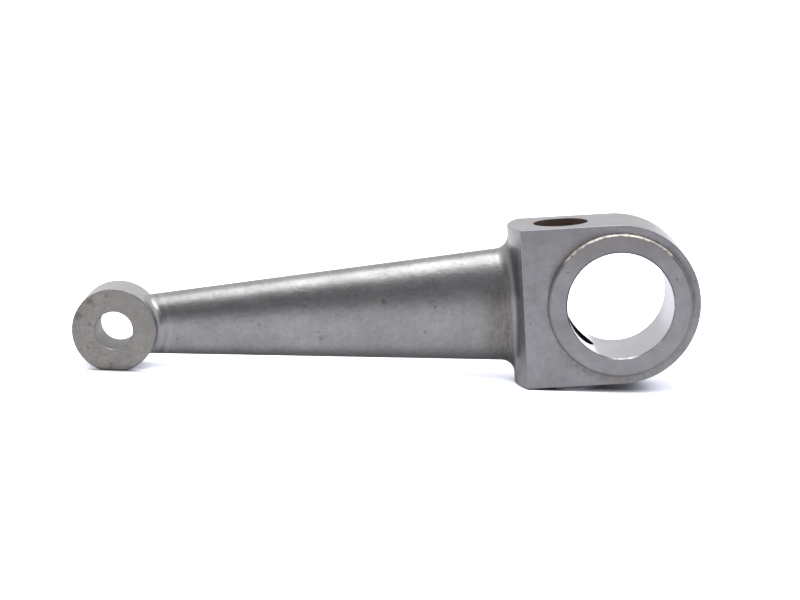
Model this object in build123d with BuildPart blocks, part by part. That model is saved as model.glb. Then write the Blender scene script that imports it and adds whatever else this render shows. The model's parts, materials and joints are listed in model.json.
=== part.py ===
from build123d import *
from math import asin, atan2, cos, degrees, hypot, sin, sqrt
import os

# Cross shaft lever, forged and machined in one piece. Sizes are in millimetres.
# The origin is the centre of the shaft bore, +Y runs along the bore and +Z is up.
# The lever lies as it comes to rest: on the flat of its eye and the head's lower corner.

# Head: round at the free end, bulged in plan at the end that carries the arm
head_height = 38.4
head_thickness = 20.4
head_reach = 22.9
head_bulge = 2.8
head_edge_radius = 0.25

# Shaft bore, and the raised ring round it on each side of the head
shaft_bore_diameter = 25.4
shaft_bore_chamfer = 0.3
ring_diameter = 34.4
ring_height = 1.4
ring_edge_radius = 0.6

# Lock pin hole, down through the head and half into the shaft bore
pin_hole_diameter = 13.1
pin_hole_offset = 12.8
pin_hole_chamfer = 0.15

# Eye at the small end, with a ground flat that it rests on
centre_distance = 121.4
eye_diameter = 20.3
eye_thickness = 12.6
eye_bore_diameter = 9.1
eye_bore_chamfer = 0.15
eye_edge_radius = 0.3
eye_flat_depth = 0.4

# Arm: an oval that tapers from the head to the eye
arm_height_at_head = 27.9
arm_height_at_eye = 13.3
arm_width_at_head = 11.5
arm_width_at_eye = 7.8
blend_radius = 3.2
blend_clearance = 0.1

# Distances along the lever are measured from the bore towards the eye
head_end = head_reach + head_bulge
hub_width = head_thickness + 2 * ring_height
arm_root = head_reach - blend_radius
arm_tip = centre_distance - eye_bore_diameter / 2
arm_length = centre_distance - head_end

# Attitude at rest: the floor touches the eye's flat and the head's rounded lower corner
eye_flat_reach = eye_diameter / 2 - eye_flat_depth
corner_run = arm_length + head_edge_radius
corner_drop = head_height / 2 - head_edge_radius
corner_distance = hypot(corner_run, corner_drop)
corner_lift = asin((eye_flat_reach - head_edge_radius) / corner_distance)
rest_lean = atan2(corner_drop, corner_run) - corner_lift

# Working planes of the leaning lever, with local x from the bore towards the eye
outward = Vector(-cos(rest_lean), 0, -sin(rest_lean))
upward = Vector(-sin(rest_lean), 0, cos(rest_lean))
side_view = Plane(origin=(0, 0, 0), x_dir=outward, z_dir=(0, 1, 0))
top_view = Plane(origin=(0, 0, 0), x_dir=outward, z_dir=upward)


def arm_size(at_head, at_eye, distance):
    """Size across the arm's oval at a distance from the bore, as it tapers evenly."""
    return at_head + (at_eye - at_head) * (distance - head_end) / arm_length


def half_width(distance):
    """Half the width of the arm's oval at a distance from the bore."""
    return arm_size(arm_width_at_head, arm_width_at_eye, distance) / 2


def half_height(distance):
    """Half the height of the arm's oval at a distance from the bore."""
    return arm_size(arm_height_at_head, arm_height_at_eye, distance) / 2


def arm_section(distance):
    """Plane across the arm at a distance from the bore."""
    return Plane(origin=outward * distance, x_dir=(0, 1, 0), z_dir=-outward)


# The blend at the eye ends on the eye's round side, just clear of its rounded rim,
# and is no larger than the tightest curve of the arm's oval
eye_joint = centre_distance - sqrt(eye_diameter**2 - arm_height_at_eye**2) / 2
eye_side_room = eye_thickness / 2 - half_width(eye_joint) - eye_edge_radius
oval_end_radius = half_width(eye_joint) ** 2 / half_height(eye_joint)
eye_blend_radius = min(blend_radius, eye_side_room - blend_clearance, oval_end_radius)

with BuildPart() as head:
    # Side outline, trimmed to the bulged outline from above
    with BuildSketch(side_view):
        Circle(head_height / 2)
        Rectangle(head_end, head_height, align=(Align.MIN, Align.CENTER))
    extrude(amount=head_thickness / 2, both=True)
    with BuildSketch(top_view):
        with BuildLine():
            front_corner = (head_reach, head_thickness / 2)
            back_corner = (head_reach, -head_thickness / 2)
            ThreePointArc(front_corner, (head_end, 0), back_corner)
            Polyline(
                back_corner,
                (-head_height, -head_thickness / 2),
                (-head_height, head_thickness / 2),
                front_corner,
            )
        make_face()
    extrude(amount=head_height, both=True, mode=Mode.INTERSECT)
    fillet(head.edges(), radius=head_edge_radius)

with BuildPart() as eye:
    # A round with a chord that lies level on the floor
    with BuildSketch(side_view):
        with Locations((centre_distance, 0)):
            Circle(eye_diameter / 2)
        floor_point = (
            centre_distance + eye_flat_reach * sin(rest_lean),
            -eye_flat_reach * cos(rest_lean),
            0,
        )
        with Locations(Location(floor_point, degrees(rest_lean))):
            Rectangle(
                eye_diameter, eye_diameter, align=(Align.CENTER, Align.MAX), mode=Mode.SUBTRACT
            )
    extrude(amount=eye_thickness / 2, both=True)
    rims = eye.edges().group_by(Axis.Y)[0] + eye.edges().group_by(Axis.Y)[-1]
    fillet(rims, radius=eye_edge_radius)

with BuildPart() as lever:
    add(head.part)
    add(eye.part)

    # Arm, blended into the head and the eye
    with BuildSketch(arm_section(arm_root)):
        Ellipse(half_width(arm_root), half_height(arm_root))
    with BuildSketch(arm_section(arm_tip)):
        Ellipse(half_width(arm_tip), half_height(arm_tip))
    loft(ruled=True)
    joints = lever.edges(Select.NEW).sort_by(Axis.X)
    fillet(joints[-1], radius=blend_radius)
    fillet(joints[0], radius=eye_blend_radius)

    # Raised rings, one on each side of the head
    with BuildSketch(side_view):
        Circle(ring_diameter / 2)
    extrude(amount=hub_width / 2, both=True)
    ring_rims = lever.edges().filter_by(GeomType.CIRCLE).group_by(Axis.Y)
    fillet(ring_rims[0] + ring_rims[-1], radius=ring_edge_radius)

    # Shaft bore
    with Locations(side_view):
        Hole(shaft_bore_diameter / 2)
    chamfer(lever.edges(Select.LAST).filter_by(GeomType.CIRCLE), length=shaft_bore_chamfer)

    # Eye bore
    with Locations(side_view):
        with Locations((centre_distance, 0)):
            Hole(eye_bore_diameter / 2)
    chamfer(lever.edges(Select.LAST).filter_by(GeomType.CIRCLE), length=eye_bore_chamfer)

    # Lock pin hole
    with Locations(top_view):
        with Locations((pin_hole_offset, 0)):
            Hole(pin_hole_diameter / 2)
    chamfer(lever.edges(Select.LAST).filter_by(GeomType.CIRCLE), length=pin_hole_chamfer)

os.makedirs("parts", exist_ok=True)
lever.part.label = "lever"
export_step(lever.part, "parts/lever.step")
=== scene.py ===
from collections import namedtuple
import json
from math import cos, pi, radians, sin

import bpy
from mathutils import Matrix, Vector


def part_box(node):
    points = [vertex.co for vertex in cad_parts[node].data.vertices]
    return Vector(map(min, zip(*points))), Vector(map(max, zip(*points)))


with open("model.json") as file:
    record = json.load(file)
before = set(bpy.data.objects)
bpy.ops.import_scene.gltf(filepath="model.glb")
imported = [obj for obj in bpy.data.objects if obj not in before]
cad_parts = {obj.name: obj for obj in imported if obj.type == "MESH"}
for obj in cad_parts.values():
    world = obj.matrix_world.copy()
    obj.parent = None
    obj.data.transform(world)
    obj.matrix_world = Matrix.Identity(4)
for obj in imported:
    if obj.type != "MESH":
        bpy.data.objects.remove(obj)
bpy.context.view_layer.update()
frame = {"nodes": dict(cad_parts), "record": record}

# Bare steel cross shaft lever on a white sweep. The scene is in metres. The lever's own
# sizes, which place its finishes, are in millimetres as in the CAD, and come from the
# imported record's mounts where those hold them.
MM = 0.001
lever = frame["nodes"]["lever"]
floor_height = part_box("lever")[0].z
mounts = {mount["name"]: mount for mount in frame["record"]["mounts"]}
eye_centre = Vector(mounts["eye_bore"]["pos_m"]) / MM
pin_centre = Vector(mounts["lock_pin_hole"]["pos_m"]) / MM

# Directions of the leaning lever: along its bores, from the shaft bore to the eye, and up
sideways = Vector((0, 1, 0))
outward = eye_centre.normalized()
upward = sideways.cross(outward)

# Head, with its shaft bore, raised rings and pin hole
head_height = 38.4
head_end = 25.7
face_side = 10.2
bore_radius = mounts["shaft_bore"]["dims"]["r_mm"]
bore_chamfer = 0.3
ring_radius = 17.2
ring_edge_radius = 0.6
ring_side = abs(mounts["hub_front_face"]["pos_m"][1]) / MM
pin_offset = pin_centre.length
pin_radius = mounts["lock_pin_hole"]["dims"]["r_mm"]

# Eye and arm
eye_offset = eye_centre.length
eye_radius = 10.15
eye_side = 6.3
eye_bore_radius = mounts["eye_bore"]["dims"]["r_mm"]
arm_half_height_at_head = 13.95
arm_half_height_at_eye = 6.65

# Spots that the photograph shows on the front: distance out, height and radius
brown_spots = [
    (126.5, 7.2, 1.2), (129.7, 4.2, 1.0), (127.3, 1.9, 0.8), (127.9, -3.9, 0.55),
    (122.6, -8.3, 0.75), (122.3, 8.7, 0.6), (56.3, 3.1, 0.8),
    (-13.5, 5.7, 0.3), (-17.9, 4.7, 0.4), (12.2, 8.7, 0.35),
]
arm_dents = [
    (43.9, 1.3, 0.5), (46.8, -4.9, 0.45), (71.9, -5.2, 0.75), (72.3, -3.5, 0.6),
    (75.0, 3.3, 0.45), (83.2, -7.4, 0.5), (86.6, -1.0, 0.5), (106.5, -3.5, 0.45),
]

# Stretches round the ring, as the photograph shows them: their middle, anticlockwise
# from the right, and how far they fade out from it, in degrees
# The first two are where the grime at the ring's foot, with its painted shade, reaches further
grime_and_shade_right = (24, 38)
grime_and_shade_upper_left = (126, 44)
rust_lower_left = (252, 50)
rust_lower_right = (335, 60)
brown_top = (98, 60)

# How far grime with painted shade and rust reach from the ring's foot, and the sine of
# the angle above which the ring's edge gets its painted highlight
grime_and_shade_width = 0.4
rust_reach = (0.3, 3.2)
highlight_rise = (0.62, 0.74)

# Marks on the arm and the eye: where each starts or ends, as the two ends of its fade,
# out from the shaft bore or up from the arm's middle. The stains on the eye's face start
# at its middle, and the painted shade on the arm's underside is a share of its half height.
root_end = (28, 36)
root_top = (3, 7)
root_lines_end = (29.5, 33.5)
root_lines_top = (3, 6)
# Painted shade in the arm's blend into the head
blend_shade_start = (23.4, 24.0)
blend_shade_end = (25.6, 27.0)
blend_shade_bottom = (1, 5)
blend_shade_top = (14.0, 15.4)
groove_bottom = (-12, -10)
groove_top = (3, 5)
stains_start = (-1, 7)
underside_shade_share = (-0.98, -0.62)

# Lines across the arm: the distance of each from the shaft bore or the eye's middle, its
# width and its blur
groove_line = (26.9, 0.2, 0.25)
turned_lines = [(11.2, 0.9, 0.5), (13.4, 0.6, 0.4)]

# Pits: the width of a cell, the largest radius, and the share of cells that hold one
pit_cell = 2.4
pit_radius = 0.34
pit_share = 0.22

# Base colours of the steel
plain_steel = (0.357, 0.349, 0.369)
bored_steel = (0.335, 0.326, 0.372)
eye_steel = (0.355, 0.338, 0.33)
eye_steel_browner = (0.33, 0.32, 0.295)
pin_steel = (0.23, 0.175, 0.14)
pin_steel_darker = (0.18, 0.15, 0.13)
arm_warmth = (0.98, 0.98, 0.945)

# Colours that marks tint it to
stain_colour = (0.2, 0.185, 0.165)
ground_line_colour = (0.22, 0.205, 0.19)
fleck_colour = (0.14, 0.13, 0.12)
eye_wall_colour = (0.6, 0.59, 0.61)
root_colour = (0.226, 0.216, 0.208)
root_mottle_colour = (0.145, 0.135, 0.11)
root_line_colour = (0.12, 0.115, 0.095)
# Painted shade in the arm's blend into the head
blend_shade_colour = (0.11, 0.1, 0.098)
# Painted shade on the arm's underside
underside_shade_colour = (0.09, 0.087, 0.09)
turned_colour = (0.5, 0.5, 0.52)
groove_colour = (0.1, 0.095, 0.09)
# Grime with painted shade at the ring's foot
grime_and_shade_colour = (0.15, 0.137, 0.12)
rust_colour = (0.2, 0.185, 0.145)
brown_top_colour = (0.24, 0.215, 0.19)
# Painted shade and a painted highlight on the ring's edge
edge_shade_colour = (0.15, 0.145, 0.14)
edge_highlight_colour = (0.82, 0.78, 0.71)
dull_edge_colour = (0.24, 0.22, 0.19)
lip_colour = (0.16, 0.155, 0.15)
eye_bore_colour = (0.24, 0.235, 0.24)
pit_colour = (0.09, 0.08, 0.07)
spot_colour = (0.11, 0.09, 0.07)
dent_colour = (0.14, 0.135, 0.13)

# Roughness, and the depth of the relief
steel_roughness = 0.34
bored_roughness = 0.2
dull_roughness = 0.5
relief_depth = 0.012 * MM

# Camera: the photograph's view, from low in front of the head
camera_place = Vector((-52.653, -561.82, 99.057)) * MM
camera_turn = (radians(79.7212), radians(-2.2422), radians(0.3821))
camera_lens = 106.138
camera_sensor = 36

# Background: how bright it is where it is seen, and as a fill light
white_strength = 1.0
fill_strength = 0.8

# Floor: its colour to the soft light, in the metal's mirror and to the camera. The
# mirrored floor is brighter behind the lever than under it. The two stretches are where
# the floor changes from the eye's to the head's, along x, and grows brighter, along y.
floor_size = 12
eye_to_head = (-110 * MM, -30 * MM)
front_to_back = (20 * MM, 120 * MM)
floor_colour = (0.8, 0.8, 0.82)
mirrored_colour = (1, 1, 1.04)
mirrored_brightness = (0.9, 1.22)
seen_at_eye = (2.3, 2.35, 2.5)
seen_at_head = (1.95, 2.0, 2.2)

# Shade in the floor's nooks: how far it reaches, how dark it gets and how open a place
# has to be to stay clear of it, each at the eye and at the head
nook_reach = (4.5 * MM, 9.5 * MM)
nook_darkest = (0.95, 0.22)
nook_clear = (0.6, 0.44)

# Deeper shade round the pin hole's lower mouth, none under the front of the head's round
# end, and a dark line in front of the eye: how far each reaches, and how dark it gets
mouth_reach = (6 * MM, 11 * MM)
mouth_darkest = 0.45
round_end_start = (-16 * MM, -9 * MM)
round_end_front = (-10.5 * MM, -4.5 * MM)
line_reach = 6 * MM
line_front = (-5.8 * MM, -5.2 * MM)
line_darkest = 0.05

# A mark on the steel: its mask, how far it tints the steel to its colour, its relief,
# and whether it is as dull as grime
Mark = namedtuple("Mark", "mask weight colour relief dull", defaults=(None, False))


def make_camera():
    """The photograph's camera, with its long lens."""
    data = bpy.data.cameras.new("camera")
    data.sensor_width = camera_sensor
    data.lens = camera_lens
    camera = bpy.data.objects.new("camera", data)
    camera.location = camera_place
    camera.rotation_euler = camera_turn
    bpy.context.scene.collection.objects.link(camera)
    bpy.context.scene.camera = camera


class Graph:
    """Short calls that build a node tree. Each returns the socket that holds its result."""

    def __init__(self, tree):
        self.tree = tree

    def add(self, kind):
        return self.tree.nodes.new(kind)

    def feed(self, socket, value):
        """Link a socket to another, or set it to a plain value."""
        if isinstance(value, bpy.types.NodeSocket):
            self.tree.links.new(value, socket)
        else:
            socket.default_value = value

    def math(self, operation, *values):
        node = self.add("ShaderNodeMath")
        node.operation = operation
        for socket, value in zip(node.inputs, values):
            self.feed(socket, value)
        return node.outputs[0]

    def chain(self, operation, values):
        """One operation over any number of values."""
        result = values[0]
        for value in values[1:]:
            result = self.math(operation, result, value)
        return result

    def times(self, *values):
        """The product of masks and numbers."""
        return self.chain("MULTIPLY", values)

    def plus(self, *values):
        return self.chain("ADD", values)

    def most(self, *values):
        """The largest of some masks."""
        return self.chain("MAXIMUM", values)

    def outside(self, mask):
        """1 where a mask is 0, and 0 where it is 1."""
        return self.math("SUBTRACT", 1.0, mask)

    def step(self, value, start, end, before=0.0, after=1.0):
        """A smooth step from before to after, while value goes from start to end."""
        node = self.add("ShaderNodeMapRange")
        node.interpolation_type = "SMOOTHSTEP"
        sockets = (node.inputs[0], *node.inputs[1:5])
        for socket, given in zip(sockets, (value, start, end, before, after)):
            self.feed(socket, given)
        return node.outputs[0]

    def fall(self, value, start, end):
        """1, falling smoothly to 0 while value goes from start to end."""
        return self.step(value, start, end, 1.0, 0.0)

    def band(self, value, centre, width, blur):
        """1 within a width round a centre, falling to 0 over the blur on each side."""
        away = self.math("ABSOLUTE", self.math("SUBTRACT", value, centre))
        return self.fall(away, width / 2, width / 2 + blur)

    def along(self, vector, axis):
        """How far a vector reaches along an axis."""
        node = self.add("ShaderNodeVectorMath")
        node.operation = "DOT_PRODUCT"
        self.feed(node.inputs[0], vector)
        self.feed(node.inputs[1], tuple(axis))
        return node.outputs["Value"]

    def radius(self, a, b):
        """Distance from an axis, from the two distances across it."""
        return self.math("SQRT", self.plus(self.times(a, a), self.times(b, b)))

    def openness(self, distance):
        """1 in the open, less where something stands within a distance."""
        node = self.add("ShaderNodeAmbientOcclusion")
        self.feed(node.inputs["Distance"], distance)
        return node.outputs["AO"]

    def scaled(self, vector, factors):
        node = self.add("ShaderNodeVectorMath")
        node.operation = "MULTIPLY"
        self.feed(node.inputs[0], vector)
        self.feed(node.inputs[1], factors)
        return node.outputs[0]

    def noise(self, vector, scale, detail=2.0, roughness=0.5):
        """Soft noise from 0 to 1 with 1 / scale as its cell size."""
        node = self.add("ShaderNodeTexNoise")
        self.feed(node.inputs["Vector"], vector)
        node.inputs["Scale"].default_value = scale
        node.inputs["Detail"].default_value = detail
        node.inputs["Roughness"].default_value = roughness
        return node.outputs[0]

    def swing(self, noise, size):
        """Noise moved to lie round 0, with a given swing."""
        return self.times(self.plus(noise, -0.5), size)

    def specks(self, vector, cell, radius, share):
        """Small round spots up to a radius, one in a share of the cells of a given width."""
        node = self.add("ShaderNodeTexVoronoi")
        self.feed(node.inputs["Vector"], vector)
        node.inputs["Scale"].default_value = 1 / cell
        chance = self.add("ShaderNodeSeparateColor")
        self.feed(chance.inputs[0], node.outputs["Color"])
        reach = self.times(chance.outputs[1], radius / cell)
        spot = self.fall(node.outputs["Distance"], self.times(reach, 0.4), reach)
        return self.times(spot, self.math("LESS_THAN", chance.outputs[0], share))

    def mix(self, factor, a, b):
        """A number between a and b."""
        node = self.add("ShaderNodeMix")
        self.feed(node.inputs[0], factor)
        self.feed(node.inputs[2], a)
        self.feed(node.inputs[3], b)
        return node.outputs[0]

    def tint(self, factor, a, b, blend="MIX"):
        """A colour between a and b."""
        node = self.add("ShaderNodeMix")
        node.data_type = "RGBA"
        node.blend_type = blend
        self.feed(node.inputs[0], factor)
        for socket, value in ((node.inputs[6], a), (node.inputs[7], b)):
            self.feed(socket, value if isinstance(value, bpy.types.NodeSocket) else (*value, 1))
        return node.outputs[2]

    def product(self, a, b):
        """One colour times another."""
        return self.tint(1.0, a, b, "MULTIPLY")

    def grey(self, value):
        """A colour of three equal parts."""
        node = self.add("ShaderNodeCombineColor")
        for socket in node.inputs:
            self.feed(socket, value)
        return node.outputs[0]


def new_graph(name):
    """An empty node material and the graph that fills it."""
    material = bpy.data.materials.new(name)
    material.use_nodes = True
    material.node_tree.nodes.clear()
    return material, Graph(material.node_tree)


def finish_graph(graph, shader, kind="ShaderNodeOutputMaterial"):
    out = graph.add(kind)
    graph.feed(out.inputs["Surface"], shader)


def seen_ray(graph):
    """1 for the rays that show the background: from the camera, in metal or through glass."""
    path = graph.add("ShaderNodeLightPath")
    rays = ("Is Camera Ray", "Is Glossy Ray", "Is Transmission Ray")
    return graph.most(*[path.outputs[ray] for ray in rays])


def camera_ray(graph):
    return graph.add("ShaderNodeLightPath").outputs["Is Camera Ray"]


def make_world():
    """White where it is seen, and an even dimmer fill light elsewhere."""
    world = bpy.data.worlds.new("studio")
    bpy.context.scene.world = world
    world.use_nodes = True
    world.node_tree.nodes.clear()
    graph = Graph(world.node_tree)
    glow = graph.add("ShaderNodeBackground")
    glow.inputs["Color"].default_value = (1, 1, 1, 1)
    strength = graph.mix(seen_ray(graph), fill_strength, white_strength)
    graph.feed(glow.inputs["Strength"], strength)
    finish_graph(graph, glow.outputs[0], "ShaderNodeOutputWorld")


def panel(name, centre, width, height, facing):
    """A flat card, turned to face a point."""
    mesh = bpy.data.meshes.new(name)
    w, h = width / 2, height / 2
    mesh.from_pydata([(-w, -h, 0), (w, -h, 0), (w, h, 0), (-w, h, 0)], [], [(0, 1, 2, 3)])
    card = bpy.data.objects.new(name, mesh)
    card.location = centre
    card.rotation_euler = (Vector(facing) - Vector(centre)).to_track_quat("Z", "Y").to_euler()
    bpy.context.scene.collection.objects.link(card)
    return card


def floor_shade(graph, x, y, toward_head):
    """Shade on the floor: 1 in the open, and darker in the nooks under the lever."""
    # Soft under the whole lever
    nook = graph.openness(graph.mix(toward_head, *nook_reach))
    darkest = graph.mix(toward_head, *nook_darkest)
    clear = graph.mix(toward_head, *nook_clear)
    shade = graph.step(nook, 0.1, clear, darkest, 1.0)

    # Deep under the pin hole's mouth, where the nook looks open to the sky
    mouth = (outward * pin_offset - upward * head_height / 2) * MM
    from_mouth = graph.radius(graph.plus(x, -mouth.x), y)
    shade = graph.times(shade, graph.step(from_mouth, *mouth_reach, mouth_darkest, 1.0))

    # None under the front of the head's round end
    under_front = graph.times(graph.step(x, *round_end_start), graph.fall(y, *round_end_front))
    shade = graph.mix(under_front, shade, 1.0)

    # A dark line in front of the eye's flat
    line = graph.step(graph.openness(line_reach), 0.4, 1.0, line_darkest, 1.0)
    before_eye = graph.times(graph.fall(y, *line_front), graph.outside(toward_head))
    return graph.times(shade, graph.mix(before_eye, 1.0, line))


def make_floor():
    """A white floor that keeps the lever's shadow, and is brighter towards its back."""
    centre = Vector((0, 0, floor_height))
    floor = panel("floor", centre, floor_size, floor_size, centre + Vector((0, 0, 1)))
    material, graph = new_graph("floor")
    place = graph.add("ShaderNodeNewGeometry").outputs["Position"]
    x = graph.along(place, (1, 0, 0))
    y = graph.along(place, (0, 1, 0))
    toward_head = graph.step(x, *eye_to_head)
    brightness = graph.step(y, *front_to_back, *mirrored_brightness)
    mirrored = graph.product(mirrored_colour, graph.grey(brightness))
    colour = graph.tint(seen_ray(graph), floor_colour, mirrored)
    seen = graph.tint(toward_head, seen_at_eye, seen_at_head)
    colour = graph.tint(camera_ray(graph), colour, seen)
    shade = floor_shade(graph, x, y, toward_head)
    diffuse = graph.add("ShaderNodeBsdfDiffuse")
    graph.feed(diffuse.inputs["Color"], graph.product(colour, graph.grey(shade)))
    finish_graph(graph, diffuse.outputs[0])
    floor.data.materials.append(material)


def make_card(name, centre, width, height, facing, colour, strength=1.0):
    """A glowing card that the metal mirrors, and the camera and the floor never see."""
    card = panel(name, centre, width, height, facing)
    card.visible_camera = False
    card.visible_shadow = False
    card.visible_diffuse = False
    material, graph = new_graph(name)
    glow = graph.add("ShaderNodeEmission")
    glow.inputs["Color"].default_value = (*colour, 1)
    glow.inputs["Strength"].default_value = strength
    finish_graph(graph, glow.outputs[0])
    card.data.materials.append(material)


def make_softbox(name, centre, width, height, facing, radiance):
    """A soft rectangular lamp of a given brightness."""
    data = bpy.data.lights.new(name, "AREA")
    data.shape = "RECTANGLE"
    data.size = width
    data.size_y = height
    data.energy = radiance * pi * width * height
    lamp = bpy.data.objects.new(name, data)
    lamp.location = centre
    lamp.rotation_euler = (Vector(facing) - Vector(centre)).to_track_quat("-Z", "Y").to_euler()
    lamp.visible_camera = False
    bpy.context.scene.collection.objects.link(lamp)


class Surface:
    """A point of the lever's surface: its place in mm, its grain, and masks of regions."""

    def __init__(self, graph):
        self.graph = graph
        place = graph.add("ShaderNodeTexCoord").outputs["Object"]
        self.spot = graph.scaled(place, (1 / MM, 1 / MM, 1 / MM))
        self.find_place()
        self.find_grain()
        self.find_regions()

    def find_place(self):
        """Distances along the lever, and from the middles of its holes."""
        graph = self.graph
        self.out = graph.along(self.spot, outward)
        self.up = graph.along(self.spot, upward)
        self.side = graph.along(self.spot, sideways)
        self.depth = graph.math("ABSOLUTE", self.side)
        self.from_bore = graph.radius(self.out, self.up)
        self.from_pin = graph.radius(graph.plus(self.out, -pin_offset), self.side)
        self.past_eye = graph.plus(self.out, -eye_offset)
        self.from_eye = graph.radius(self.past_eye, self.up)

    def find_grain(self):
        """Noise that all the surfaces share."""
        graph = self.graph
        self.fine = graph.noise(self.spot, 2.6, 3.0, 0.6)
        self.cloud = graph.noise(self.spot, 0.55)
        self.broad = graph.noise(self.spot, 0.12)
        self.streaks = graph.noise(graph.scaled(self.spot, (0.35, 1.0, 1.6)), 1.1, 2.0, 0.6)
        self.ragged = graph.swing(graph.noise(self.spot, 0.9, 3.0, 0.6), 2.0)
        self.mottle = graph.step(graph.noise(self.spot, 1.6, 3.0, 0.7), 0.42, 0.6)

    def find_regions(self):
        """Masks, each 1 on its own surface."""
        graph = self.graph
        self.front = graph.fall(self.side, -3, -2)
        self.on_head = graph.fall(self.out, head_end - 0.3, head_end)
        self.near_eye = graph.fall(self.from_eye, eye_radius + 0.1, eye_radius + 0.6)
        self.on_arm = graph.times(
            graph.step(self.out, head_end - 0.6, head_end + 0.4), graph.outside(self.near_eye)
        )
        self.on_eye_face = graph.times(
            self.near_eye, graph.step(self.depth, eye_side - 0.2, eye_side - 0.05)
        )
        self.on_eye_wall = graph.times(self.near_eye, graph.outside(self.on_eye_face))
        self.in_eye = graph.fall(self.from_eye, eye_bore_radius + 0.02, eye_bore_radius + 0.12)
        bore_rim = bore_radius + bore_chamfer
        self.in_bore = graph.fall(self.from_bore, bore_rim - 0.02, bore_rim + 0.02)
        self.in_pin = graph.times(
            graph.fall(self.from_pin, pin_radius + 0.02, pin_radius + 0.1), self.on_head
        )
        self.on_face = graph.times(
            self.on_head,
            graph.step(self.depth, face_side - 0.1, face_side - 0.02),
            graph.fall(self.depth, face_side + 0.02, face_side + 0.1),
        )
        edge_start = ring_radius - ring_edge_radius
        self.on_ring_edge = graph.times(
            graph.step(self.from_bore, edge_start, edge_start + 0.1),
            graph.fall(self.from_bore, ring_radius + 0.03, ring_radius + 0.05),
            graph.step(self.depth, face_side + 0.02, face_side + 0.06),
        )

    def uneven(self, value, amount):
        """A value that wavers by an amount, for masks with uneven edges."""
        return self.graph.plus(value, self.graph.times(self.ragged, amount))

    def lobe(self, degrees, spread):
        """1 towards an angle round the bore, falling to 0 at the spread from it."""
        graph = self.graph
        reach = graph.plus(
            graph.times(self.out, -cos(radians(degrees))),
            graph.times(self.up, sin(radians(degrees))),
        )
        share = graph.math("DIVIDE", reach, self.from_bore)
        return graph.step(share, cos(radians(spread)), cos(radians(spread / 3)))

    def spots(self, places):
        """Soft uneven spots at given places on the front."""
        graph = self.graph
        found = []
        for out, up, size in places:
            away = graph.radius(graph.plus(self.out, -out), graph.plus(self.up, -up))
            away = self.uneven(away, 1.3 * size)
            found.append(graph.fall(away, 0.2 * size, 1.2 * size))
        return graph.times(self.front, graph.most(*found))


def bare_colour(graph, at):
    """The steel's own colour: plain, smoother in the bore, browner on the eye and the arm."""
    patches = graph.step(graph.noise(at.spot, 0.4, 3.0, 0.6), 0.4, 0.65)
    on_eye = graph.tint(patches, eye_steel, eye_steel_browner)
    colour = graph.tint(at.in_bore, plain_steel, bored_steel)
    colour = graph.tint(at.on_eye_face, colour, on_eye)
    colour = graph.tint(at.on_arm, colour, graph.product(colour, arm_warmth))
    shade = graph.plus(
        1.0,
        graph.swing(at.fine, 0.45),
        graph.swing(at.cloud, 0.28),
        graph.swing(at.broad, 0.42),
    )
    return graph.product(colour, graph.grey(shade))


def eye_marks(graph, at):
    """Stains on the eye's face, more towards its outer end, and ground lines across it."""
    eye_end = graph.step(at.uneven(at.past_eye, 2.0), *stains_start)
    stained = graph.times(
        at.on_eye_face,
        graph.step(graph.noise(at.spot, 1.1, 4.0, 0.65), 0.44, 0.6),
        graph.mix(eye_end, 0.6, 1.0),
    )
    lines = graph.noise(graph.scaled(at.spot, (0.16, 1.0, 3.0)), 1.3, 2.0, 0.6)
    ground = graph.times(at.on_eye_face, graph.step(lines, 0.56, 0.7))
    return [
        Mark(stained, 0.34, stain_colour),
        Mark(ground, 0.3, ground_line_colour, graph.times(ground, -0.6)),
    ]


def fleck_marks(graph, at):
    """Uneven dark flecks, commoner on the arm and the eye."""
    flecks = graph.times(
        graph.step(graph.noise(at.spot, 1.25, 4.0, 0.62), 0.54, 0.66),
        graph.most(at.on_arm, graph.times(at.near_eye, 0.8), 0.3),
    )
    return [Mark(flecks, 0.2, fleck_colour, graph.times(flecks, -0.8))]


def root_marks(graph, at):
    """Oxide at the arm's root, low on its side and in upright lines there, and painted shade in
    its blend into the head.
    """
    root = graph.times(
        at.on_arm,
        graph.fall(at.uneven(at.out, 2.0), *root_end),
        graph.fall(at.uneven(at.up, 2.0), *root_top),
    )
    strings = graph.noise(graph.scaled(at.spot, (1.5, 1.5, 0.17)), 1.0, 3.0, 0.65)
    lines = graph.times(
        at.on_arm,
        graph.fall(at.out, *root_lines_end),
        graph.fall(at.uneven(at.up, 1.5), *root_lines_top),
        graph.step(strings, 0.44, 0.6),
    )
    # Painted shade in the upper part of the blend where the arm runs into the head
    blend = graph.times(
        graph.step(at.out, *blend_shade_start),
        graph.fall(at.uneven(at.out, 0.4), *blend_shade_end),
        graph.step(at.uneven(at.up, 0.8), *blend_shade_bottom),
        graph.fall(at.up, *blend_shade_top),
    )
    return [
        Mark(root, 0.8, root_colour),
        Mark(graph.times(root, at.mottle), 0.3, root_mottle_colour),
        Mark(lines, 0.32, root_line_colour, graph.times(lines, -0.7)),
        Mark(blend, 0.6, blend_shade_colour),
    ]


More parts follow.
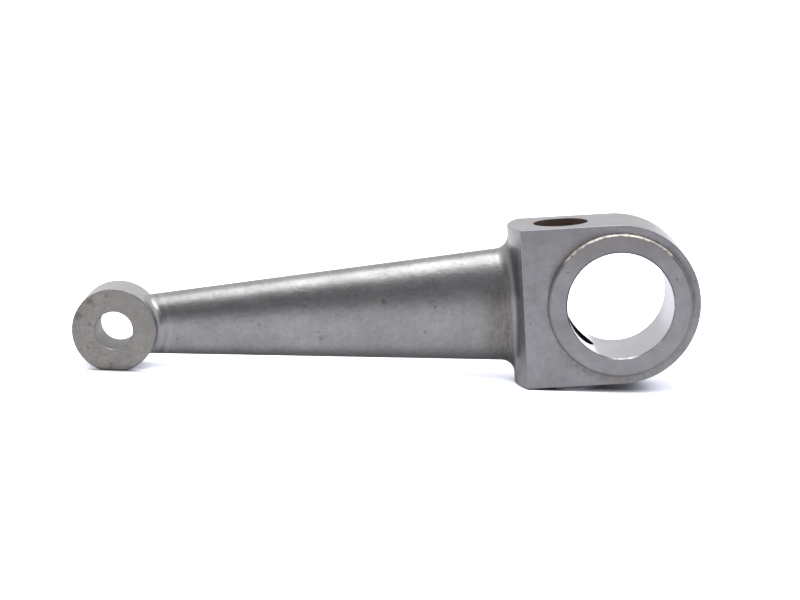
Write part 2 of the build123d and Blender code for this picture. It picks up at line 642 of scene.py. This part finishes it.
def arm_marks(graph, at):
    """Painted shade on the arm's underside, turned lines before the eye and a groove at the
    root.
    """
    taper = (arm_half_height_at_head - arm_half_height_at_eye) / (eye_offset - head_end)
    half_height = graph.plus(
        arm_half_height_at_head, graph.times(graph.plus(at.out, -head_end), -taper)
    )
    height_share = graph.math("DIVIDE", at.up, half_height)
    # Painted shade: the arm darker towards its bottom
    underside_shade = graph.fall(at.uneven(height_share, 0.05), *underside_shade_share)
    underside_shade = graph.times(at.on_arm, underside_shade)
    turned = [graph.band(at.from_eye, *line) for line in turned_lines]
    turned = graph.times(at.on_arm, graph.plus(*turned))
    groove = graph.times(
        graph.band(at.uneven(at.out, 0.25), *groove_line),
        graph.fall(at.up, *groove_top),
        graph.step(at.up, *groove_bottom),
    )
    in_groove = graph.times(groove, at.mottle)
    return [
        Mark(underside_shade, 0.8, underside_shade_colour),
        Mark(turned, 0.25, turned_colour),
        Mark(in_groove, 0.45, groove_colour, graph.times(groove, -0.8)),
    ]


def foot_marks(graph, at):
    """At the ring's foot: a soft dark fringe of grime and painted shade, wider in two places,
    and rust below.
    """
    right = at.lobe(*grime_and_shade_right)
    upper_left = at.lobe(*grime_and_shade_upper_left)
    past_ring = graph.plus(at.from_bore, -ring_radius)
    wider = graph.plus(graph.times(right, 1.1), graph.times(upper_left, 1.8))
    fringe = at.uneven(graph.plus(grime_and_shade_width, wider), 0.6)
    # Grime with painted shade, darkest close to the ring's foot
    grime_and_shade = graph.times(
        at.on_face,
        graph.fall(graph.math("DIVIDE", past_ring, fringe), 0.0, 1.0),
        graph.mix(at.mottle, 0.6, 1.0),
        graph.mix(graph.most(right, upper_left), 0.7, 1.0),
    )
    rust = graph.times(
        at.on_face,
        graph.fall(at.uneven(past_ring, 0.7), *rust_reach),
        graph.mix(at.lobe(*rust_lower_left), graph.times(at.lobe(*rust_lower_right), 0.5), 1.0),
        graph.step(graph.noise(at.spot, 0.85, 3.0, 0.6), 0.28, 0.6),
    )
    return [Mark(grime_and_shade, 0.58, grime_and_shade_colour, dull=True), Mark(rust, 0.6, rust_colour)]


def ring_marks(graph, at):
    """The ring: browner over its top, a painted highlight in worn patches on its edge there,
    and painted shade on the rest of its edge.
    """
    browner = graph.times(
        at.front,
        graph.step(at.depth, ring_side - 0.2, ring_side - 0.05),
        at.lobe(*brown_top),
    )
    rise = graph.math("DIVIDE", at.up, at.from_bore)
    # A painted highlight on the edge over the top, in patches, and painted shade on the rest of
    # the edge
    over_top = graph.step(at.uneven(rise, 0.08), *highlight_rise)
    worn = graph.step(graph.noise(at.spot, 0.7, 3.0, 0.7), 0.32, 0.56)
    top_edge = graph.times(at.on_ring_edge, over_top)
    dark = graph.times(at.on_ring_edge, graph.outside(over_top))
    bright = graph.times(top_edge, graph.mix(worn, 0.25, 1.0))
    dull = graph.times(top_edge, graph.outside(worn))
    return [
        Mark(browner, 0.3, brown_top_colour),
        Mark(dark, 0.45, edge_shade_colour),
        Mark(bright, 0.9, edge_highlight_colour, dull=True),
        Mark(dull, 0.8, dull_edge_colour),
    ]


def bore_marks(graph, at):
    """The shaft bore's rim, bright only in slivers, and the eye bore's darker wall."""
    lip = graph.times(
        graph.step(at.from_bore, bore_radius + 0.02, bore_radius + 0.06),
        at.in_bore,
        graph.fall(graph.noise(at.spot, 0.5, 2.0, 0.6), 0.45, 0.58),
    )
    return [Mark(lip, 0.7, lip_colour), Mark(at.in_eye, 0.8, eye_bore_colour, dull=True)]


def wear_marks(graph, at):
    """Small pits all over, and the brown spots and dents that the photograph shows."""
    pits = graph.specks(at.spot, pit_cell, pit_radius, pit_share)
    brown = graph.times(graph.outside(at.on_eye_wall), at.spots(brown_spots))
    dents = at.spots(arm_dents)
    return [
        Mark(pits, 0.55, pit_colour, graph.times(pits, -1.2)),
        Mark(brown, 0.45, spot_colour),
        Mark(dents, 0.45, dent_colour, graph.times(dents, -2.5)),
    ]


def make_steel():
    """Bare steel: ground faces, a forged arm and bored holes, under all their marks."""
    material, graph = new_graph("bare_steel")
    at = Surface(graph)
    in_pin_hole = graph.tint(at.mottle, pin_steel, pin_steel_darker)
    marks = [
        *eye_marks(graph, at),
        *fleck_marks(graph, at),
        Mark(at.on_eye_wall, 0.3, eye_wall_colour),
        *root_marks(graph, at),
        *arm_marks(graph, at),
        *foot_marks(graph, at),
        *ring_marks(graph, at),
        *bore_marks(graph, at),
        *wear_marks(graph, at),
        Mark(at.in_pin, 1.0, in_pin_hole, dull=True),
    ]

    colour = bare_colour(graph, at)
    for mark in marks:
        colour = graph.tint(graph.times(mark.mask, mark.weight), colour, mark.colour)

    rough = graph.plus(
        steel_roughness, graph.swing(at.fine, 0.12), graph.swing(at.streaks, 0.1)
    )
    rough = graph.mix(at.in_bore, rough, bored_roughness)
    dull = graph.most(*[mark.mask for mark in marks if mark.dull])
    rough = graph.mix(dull, rough, dull_roughness)

    relief = graph.plus(
        graph.times(at.fine, graph.mix(at.in_bore, 0.5, 0.12)),
        graph.times(at.cloud, graph.mix(at.on_arm, 0.7, 1.2)),
        *[mark.relief for mark in marks if mark.relief is not None],
    )
    bump = graph.add("ShaderNodeBump")
    bump.inputs["Strength"].default_value = 1.0
    bump.inputs["Distance"].default_value = relief_depth
    graph.feed(bump.inputs["Height"], relief)

    shader = graph.add("ShaderNodeBsdfPrincipled")
    shader.inputs["Metallic"].default_value = 1.0
    graph.feed(shader.inputs["Base Color"], colour)
    graph.feed(shader.inputs["Roughness"], rough)
    graph.feed(shader.inputs["Normal"], bump.outputs[0])
    finish_graph(graph, shader.outputs[0])
    return material


make_camera()
make_world()
make_floor()

# The studio's dark side in front, a bright card behind the head that its upper right
# mirrors, and one softbox above and in front
make_card(
    "dark_card", centre=(-0.06, -0.4, 0.18), width=1.6, height=0.41,
    facing=(-0.06, 0, 0.18), colour=(0.15, 0.147, 0.16),
)
make_card(
    "bright_card", centre=(0.12, 0.3, -0.002), width=0.13, height=0.045,
    facing=(0, 0, 0.02), colour=(1, 1, 1), strength=2.7,
)
make_softbox(
    "top_light", centre=(-0.055, -0.434, 0.845), width=0.6, height=0.62,
    facing=(-0.055, 0, 0), radiance=3.1,
)

lever.data.materials.clear()
lever.data.materials.append(make_steel())

scene = bpy.context.scene
scene.view_settings.view_transform = "Standard"
